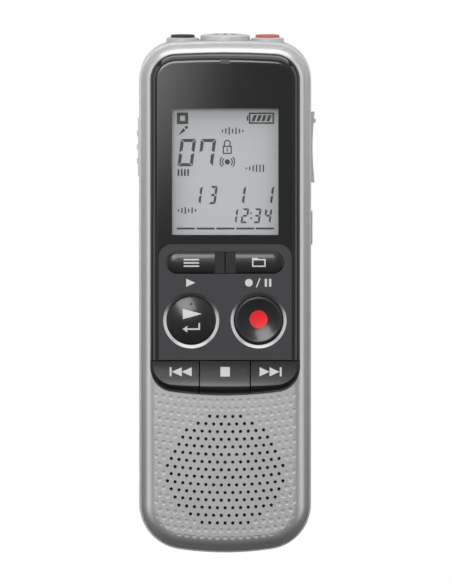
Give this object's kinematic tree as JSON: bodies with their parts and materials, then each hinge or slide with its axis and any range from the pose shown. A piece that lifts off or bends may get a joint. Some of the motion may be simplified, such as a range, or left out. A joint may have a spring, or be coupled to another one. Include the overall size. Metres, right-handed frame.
{
  "type": "handheld voice recorder",
  "caption": "Slim stick-shaped voice recorder with a framed display, round and pill-shaped keys, a speaker grille, side controls, two jacks, a microphone dome and a sliding battery lid.",
  "frame": {"origin": "centre of the flat back", "axes": "recorder lying on its back: +X to the right seen from the front, +Y along its length towards the microphone end, +Z from the back to the display"},
  "size_m": [0.0397, 0.1151, 0.0214],
  "materials": {
    "silver_paint": "satin silver lacquer",
    "black_gloss": "high gloss",
    "dark_satin": "satin",
    "lens_clear": "polished, with a clear window",
    "black_matte": "fine matte",
    "jack_red": "satin",
    "light_violet": "polished, dim",
    "metal_grille": "satin",
    "bright_steel": "bright",
    "rubber_dark": "matte",
    "board_green": "solder mask",
    "chip_black": "matte",
    "lcd_glass": "polished",
    "white_plastic": "satin",
    "cell_jacket": "satin",
    "cone_paper": "paper-like",
    "mesh_fabric": "fine mesh"
  },
  "bodies": {
    "case": {"battery_left": "cell_jacket", "battery_right": "cell_jacket", "bridge_contact": "bright_steel", "case_screws": "bright_steel", "clock_crystal": "bright_steel", "display_lens": "lens_clear", "dust_screen": "mesh_fabric", "front_panel": "black_gloss", "front_shell": "silver_paint", "headphone_jack": "black_matte", "key_domes": "bright_steel", "key_mat": "rubber_dark", "key_plate": "dark_satin", "lcd_frame": "white_plastic", "lcd_glass": "lcd_glass", "led_lamp": "white_plastic", "led_light_pipe": "light_violet", "main_board": "board_green", "memory_chip": "chip_black", "mic_cap": "metal_grille", "mic_capsule": "bright_steel", "mic_holder": "rubber_dark", "microphone_jack": "jack_red", "processor_chip": "chip_black", "rear_shell": "silver_paint", "side_switches": "chip_black", "slide_switch": "chip_black", "speaker_cone": "cone_paper", "speaker_frame": "bright_steel", "speaker_magnet": "bright_steel", "terminal_contacts": "bright_steel", "zebra_strips": "rubber_dark"},
    "menu_button": {"menu_button": "black_gloss"},
    "folder_button": {"folder_button": "black_gloss"},
    "play_button": {"play_button": "black_gloss"},
    "record_button": {"record_button": "black_gloss"},
    "rewind_key": {"rewind_key": "black_gloss"},
    "stop_key": {"stop_key": "black_gloss"},
    "forward_key": {"forward_key": "black_gloss"},
    "volume_rocker": {"volume_rocker": "silver_paint"},
    "erase_button": {"erase_button": "silver_paint"},
    "power_slider": {"power_slider": "silver_paint"},
    "battery_lid": {"battery_lid": "silver_paint"}
  },
  "joints": [
    {"name": "menu_press", "type": "slide", "parent": "case", "child": "menu_button", "axis": [0, 0, -1], "range_m": [0, 0.0003], "stiffness_N_per_m": 1500, "springref_m": -0.0004},
    {"name": "folder_press", "type": "slide", "parent": "case", "child": "folder_button", "axis": [0, 0, -1], "range_m": [0, 0.0003], "stiffness_N_per_m": 1500, "springref_m": -0.0004},
    {"name": "play_press", "type": "slide", "parent": "case", "child": "play_button", "axis": [0, 0, -1], "range_m": [0, 0.0003], "stiffness_N_per_m": 1500, "springref_m": -0.0004},
    {"name": "record_press", "type": "slide", "parent": "case", "child": "record_button", "axis": [0, 0, -1], "range_m": [0, 0.0003], "stiffness_N_per_m": 1500, "springref_m": -0.0004},
    {"name": "rewind_press", "type": "slide", "parent": "case", "child": "rewind_key", "axis": [0, 0, -1], "range_m": [0, 0.0003], "stiffness_N_per_m": 1500, "springref_m": -0.0004},
    {"name": "stop_press", "type": "slide", "parent": "case", "child": "stop_key", "axis": [0, 0, -1], "range_m": [0, 0.0003], "stiffness_N_per_m": 1500, "springref_m": -0.0004},
    {"name": "forward_press", "type": "slide", "parent": "case", "child": "forward_key", "axis": [0, 0, -1], "range_m": [0, 0.0003], "stiffness_N_per_m": 1500, "springref_m": -0.0004},
    {"name": "volume_rock", "type": "hinge", "parent": "case", "child": "volume_rocker", "pos_m": [0.0169, 0.03305, 0.0105], "axis": [0, 0, 1], "range_deg": [-2.2, 2.2], "stiffness_Nm_per_rad": 0.1},
    {"name": "erase_press", "type": "slide", "parent": "case", "child": "erase_button", "axis": [-1, 0, 0], "range_m": [0, 0.0003], "stiffness_N_per_m": 1500, "springref_m": -0.0004},
    {"name": "power_slide", "type": "slide", "parent": "case", "child": "power_slider", "axis": [0, 1, 0], "range_m": [-0.0015, 0.0015]},
    {"name": "lid_slide", "type": "slide", "parent": "case", "child": "battery_lid", "axis": [0, -1, 0], "range_m": [0, 0.056]}
  ]
}
